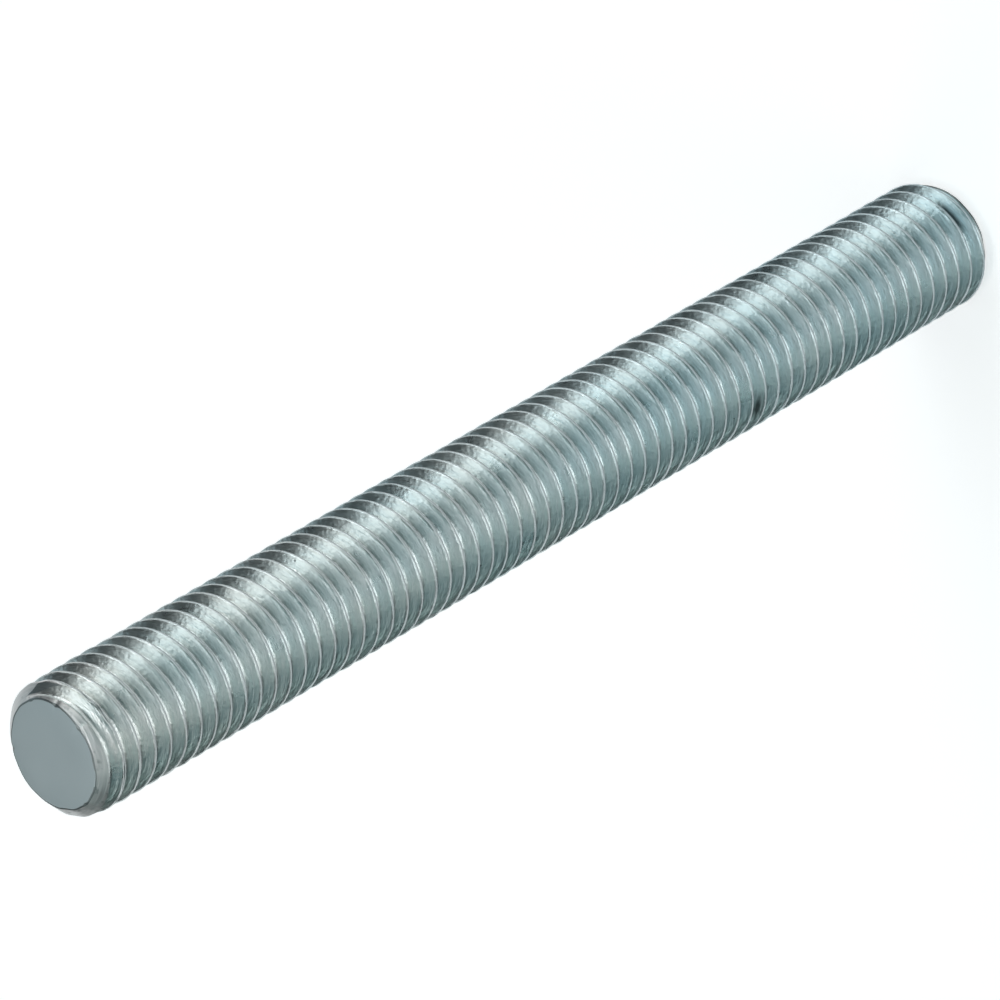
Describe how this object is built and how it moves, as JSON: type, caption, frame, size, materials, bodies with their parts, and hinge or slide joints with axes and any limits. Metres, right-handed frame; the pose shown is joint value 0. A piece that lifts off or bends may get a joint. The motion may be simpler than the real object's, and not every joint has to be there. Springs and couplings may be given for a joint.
{
  "type": "threaded rod",
  "caption": "Straight zinc-plated steel stud, threaded over its whole length, with a bevelled flat-cut end at each side",
  "frame": {"origin": "centre of the lower end face", "axes": "+Z along the rod towards the upper end face; X and Y across it, the rod is the same all round apart from where its thread starts"},
  "size_m": [0.0078, 0.0078, 0.08],
  "materials": {
    "zinc_plated_steel": "bright zinc plate with a pale blue passivation, slightly mottled"
  },
  "bodies": {
    "root": {"rod": "zinc_plated_steel"}
  },
  "joints": []
}
